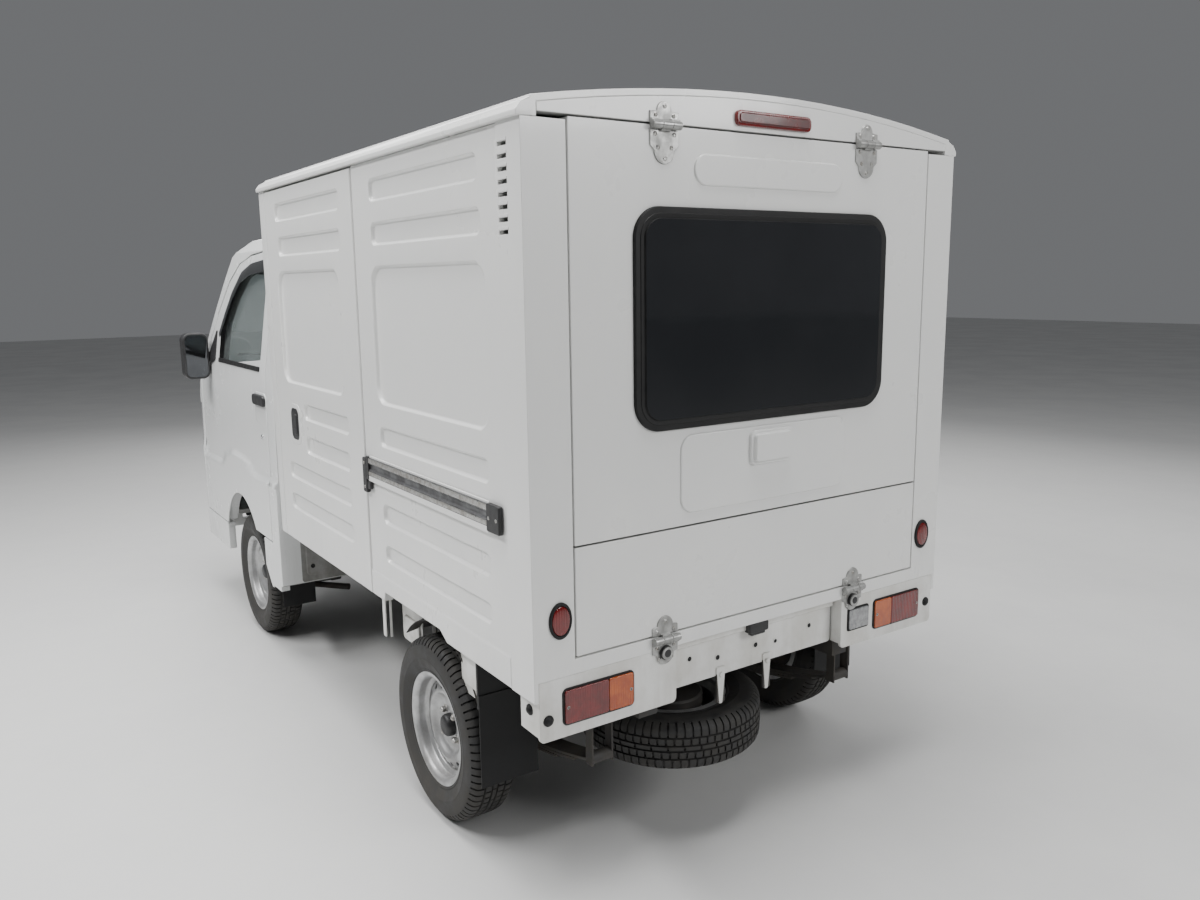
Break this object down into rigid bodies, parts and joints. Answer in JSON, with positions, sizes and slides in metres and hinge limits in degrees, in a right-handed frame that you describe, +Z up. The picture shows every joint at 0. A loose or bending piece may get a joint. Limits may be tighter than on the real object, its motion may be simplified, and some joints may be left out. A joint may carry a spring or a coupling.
{
  "type": "kei panel-van truck",
  "caption": "Small forward-cab truck with a closed panel box, sliding side doors, a lift-up rear hatch and a drop-down tailgate.",
  "frame": {"origin": "on the ground under the middle of the whole vehicle", "axes": "+X forward to the nose, +Y to the vehicle's left, +Z up"},
  "size_m": [3.395, 1.685, 1.996],
  "materials": {
    "frame_black": "satin",
    "engine_metal": "rough",
    "tank_black": "satin",
    "axle_black": "rough",
    "exhaust_steel": "satin",
    "cab_paint": "gloss",
    "box_paint": "gloss",
    "clear_glass": "gloss",
    "dark_glass": "gloss",
    "lamp_clear": "gloss",
    "lamp_red": "gloss",
    "grey_plastic": "matte",
    "black_plastic": "matte",
    "seat_fabric": "woven",
    "floor_paint": "satin",
    "rail_steel": "satin",
    "flap_rubber": "matte",
    "tyre_rubber": "matte",
    "wheel_steel": "satin"
  },
  "bodies": {
    "truck": {"chassis_frame": "frame_black", "engine": "engine_metal", "fuel_tank": "tank_black", "suspension": "frame_black", "rear_axle": "axle_black", "exhaust": "exhaust_steel", "cab_shell": "cab_paint", "cab_glass": "clear_glass", "front_bumper": "cab_paint", "headlamps": "lamp_clear", "dashboard": "grey_plastic", "seats": "seat_fabric", "box_floor": "floor_paint", "box_side_left": "box_paint", "box_side_right": "box_paint", "box_front_wall": "box_paint", "box_roof": "box_paint", "rear_frame": "box_paint", "sliding_door_left": "box_paint", "sliding_door_right": "box_paint", "door_rails": "rail_steel", "tail_panel": "box_paint", "rear_lamps": "lamp_red", "mudflaps": "flap_rubber", "spare_wheel": "tyre_rubber"},
    "steering_wheel": {"steering_wheel": "black_plastic"},
    "knuckle_left": {"front_knuckle_left": "axle_black"},
    "knuckle_right": {"front_knuckle_right": "axle_black"},
    "wheel_front_left": {"front_wheel_left": "wheel_steel", "front_tyre_left": "tyre_rubber"},
    "wheel_front_right": {"front_wheel_right": "wheel_steel", "front_tyre_right": "tyre_rubber"},
    "wheel_rear_left": {"rear_wheel_left": "wheel_steel", "rear_tyre_left": "tyre_rubber"},
    "wheel_rear_right": {"rear_wheel_right": "wheel_steel", "rear_tyre_right": "tyre_rubber"},
    "door_left": {"cab_door_left": "cab_paint", "door_glass_left": "clear_glass", "mirror_left": "black_plastic"},
    "door_right": {"cab_door_right": "cab_paint", "door_glass_right": "clear_glass", "mirror_right": "black_plastic"},
    "hatch": {"rear_hatch": "box_paint", "hatch_glass": "dark_glass"},
    "tailgate": {"tailgate": "box_paint"}
  },
  "joints": [
    {"name": "steer_left", "type": "hinge", "parent": "truck", "child": "knuckle_left", "pos_m": [0.8435, 0.565, 0.269], "axis": [0, 0, 1], "range_deg": [-35, 35]},
    {"name": "steer_right", "type": "hinge", "parent": "truck", "child": "knuckle_right", "pos_m": [0.8435, -0.565, 0.269], "axis": [0, 0, 1], "range_deg": [-35, 35]},
    {"name": "steering_wheel_turn", "type": "hinge", "parent": "truck", "child": "steering_wheel", "pos_m": [1.1135, -0.34, 1.13], "axis": [-0.7431, 0, 0.6691], "range_deg": [-490, 490]},
    {"name": "roll_front_left", "type": "hinge", "parent": "knuckle_left", "child": "wheel_front_left", "pos_m": [0.8435, 0.65, 0.269], "axis": [0, 1, 0], "continuous": true},
    {"name": "roll_front_right", "type": "hinge", "parent": "knuckle_right", "child": "wheel_front_right", "pos_m": [0.8435, -0.65, 0.269], "axis": [0, 1, 0], "continuous": true},
    {"name": "roll_rear_left", "type": "hinge", "parent": "truck", "child": "wheel_rear_left", "pos_m": [-1.0565, 0.65, 0.269], "axis": [0, 1, 0], "continuous": true},
    {"name": "roll_rear_right", "type": "hinge", "parent": "truck", "child": "wheel_rear_right", "pos_m": [-1.0565, -0.65, 0.269], "axis": [0, 1, 0], "continuous": true},
    {"name": "door_left_swing", "type": "hinge", "parent": "truck", "child": "door_left", "pos_m": [1.5895, 0.7375, 0.9], "axis": [0, 0, -1], "range_deg": [0, 65]},
    {"name": "door_right_swing", "type": "hinge", "parent": "truck", "child": "door_right", "pos_m": [1.5895, -0.7375, 0.9], "axis": [0, 0, 1], "range_deg": [0, 65]},
    {"name": "hatch_lift", "type": "hinge", "parent": "truck", "child": "hatch", "pos_m": [-1.6875, 0, 1.9], "axis": [0, 1, 0], "range_deg": [0, 88]},
    {"name": "tailgate_drop", "type": "hinge", "parent": "truck", "child": "tailgate", "pos_m": [-1.6875, 0, 0.656], "axis": [0, -1, 0], "range_deg": [0, 175]}
  ],
  "couplings": [
    {"joint": "steer_right", "follows": "steer_left", "ratio": 1},
    {"joint": "steering_wheel_turn", "follows": "steer_left", "ratio": 14}
  ]
}
